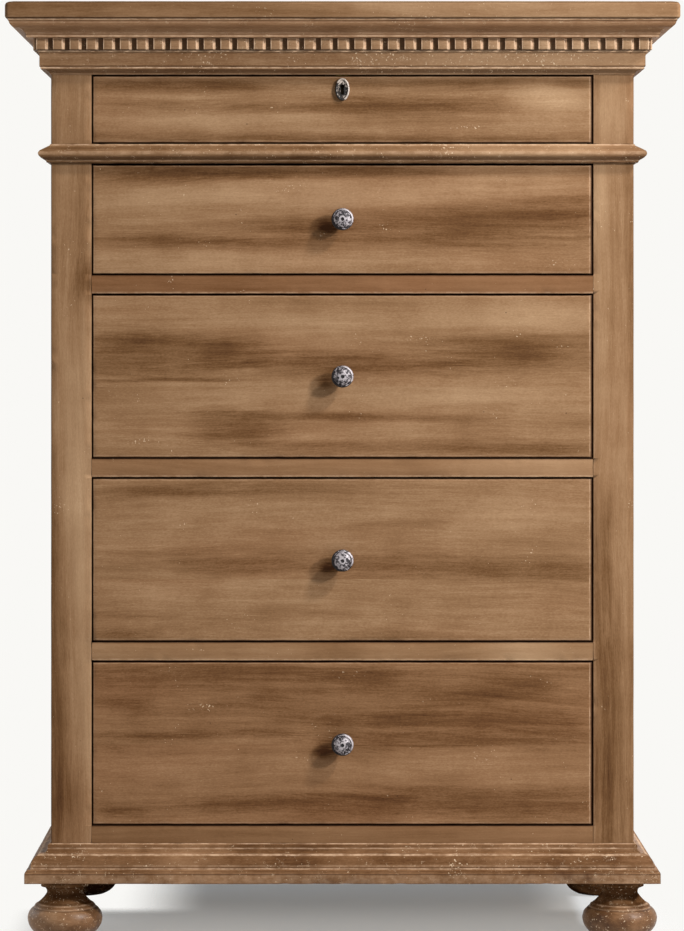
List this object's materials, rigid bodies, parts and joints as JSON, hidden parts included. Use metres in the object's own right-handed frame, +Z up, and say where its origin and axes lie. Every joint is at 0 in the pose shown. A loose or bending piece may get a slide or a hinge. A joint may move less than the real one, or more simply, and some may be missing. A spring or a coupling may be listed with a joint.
{
  "type": "chest of drawers",
  "caption": "Tall wooden chest of drawers on bun feet, with a dentil cornice, a moulded waist and plinth, round metal knobs and a locking top drawer.",
  "frame": {"origin": "on the floor, under the middle of the top board", "axes": "+Z up, -Y out of the front, +X to the right of someone facing the front"},
  "size_m": [0.965, 0.508, 1.3468],
  "materials": {
    "drawer_front_wood": "waxed, antiqued brown with soft dark bands",
    "stile_wood": "waxed, antiqued brown, upright grain",
    "rail_wood": "waxed, antiqued brown",
    "side_wood": "waxed, antiqued brown",
    "top_wood": "waxed, antiqued brown",
    "moulding_wood": "waxed, with dark glaze in the hollows",
    "foot_wood": "waxed, darker and flecked",
    "inner_wood": "bare, planed",
    "plywood": "bare, sanded",
    "pewter": "antiqued, mottled black and worn bright",
    "brass": "dull",
    "steel": "plain"
  },
  "bodies": {
    "carcass": {"corner_posts_front": "stile_wood", "corner_posts_rear": "stile_wood", "side_rails": "side_wood", "side_panels_left": "side_wood", "side_panels_right": "side_wood", "rail_top_front": "rail_wood", "rail_waist": "rail_wood", "rail_2_3": "rail_wood", "rail_3_4": "rail_wood", "rail_4_5": "rail_wood", "rail_bottom_front": "rail_wood", "rear_rails": "inner_wood", "drawer_runners_left": "inner_wood", "drawer_runners_right": "inner_wood", "drawer_stops": "inner_wood", "top_board": "top_wood", "crown_moulding": "moulding_wood", "dentil_strips": "moulding_wood", "frieze_moulding": "moulding_wood", "waist_moulding": "moulding_wood", "plinth_moulding": "moulding_wood", "bottom_board": "inner_wood", "bun_feet": "foot_wood", "foot_bolts": "steel", "back_panel": "plywood", "back_screws": "steel", "strike_plate": "brass"},
    "drawer_1": {"drawer_1_front": "drawer_front_wood", "drawer_1_sides": "inner_wood", "drawer_1_back": "inner_wood", "drawer_1_bottom": "plywood", "drawer_1_keyhole_plate": "pewter", "drawer_1_lock_case": "brass", "drawer_1_lock_screws": "steel"},
    "drawer_2": {"drawer_2_front": "drawer_front_wood", "drawer_2_sides": "inner_wood", "drawer_2_back": "inner_wood", "drawer_2_bottom": "plywood", "drawer_2_knob": "pewter", "drawer_2_knob_screw": "steel"},
    "drawer_3": {"drawer_3_front": "drawer_front_wood", "drawer_3_sides": "inner_wood", "drawer_3_back": "inner_wood", "drawer_3_bottom": "plywood", "drawer_3_knob": "pewter", "drawer_3_knob_screw": "steel"},
    "drawer_4": {"drawer_4_front": "drawer_front_wood", "drawer_4_sides": "inner_wood", "drawer_4_back": "inner_wood", "drawer_4_bottom": "plywood", "drawer_4_knob": "pewter", "drawer_4_knob_screw": "steel"},
    "drawer_5": {"drawer_5_front": "drawer_front_wood", "drawer_5_sides": "inner_wood", "drawer_5_back": "inner_wood", "drawer_5_bottom": "plywood", "drawer_5_knob": "pewter", "drawer_5_knob_screw": "steel"},
    "lock_bolt": {"lock_bolt": "brass"}
  },
  "joints": [
    {"name": "drawer_1_slide", "type": "slide", "parent": "carcass", "child": "drawer_1", "axis": [0, -1, 0], "range_m": [0, 0.32]},
    {"name": "drawer_2_slide", "type": "slide", "parent": "carcass", "child": "drawer_2", "axis": [0, -1, 0], "range_m": [0, 0.32]},
    {"name": "drawer_3_slide", "type": "slide", "parent": "carcass", "child": "drawer_3", "axis": [0, -1, 0], "range_m": [0, 0.32]},
    {"name": "drawer_4_slide", "type": "slide", "parent": "carcass", "child": "drawer_4", "axis": [0, -1, 0], "range_m": [0, 0.32]},
    {"name": "drawer_5_slide", "type": "slide", "parent": "carcass", "child": "drawer_5", "axis": [0, -1, 0], "range_m": [0, 0.32]},
    {"name": "lock_bolt_throw", "type": "slide", "parent": "drawer_1", "child": "lock_bolt", "axis": [0, 0, 1], "range_m": [0, 0.007]}
  ]
}
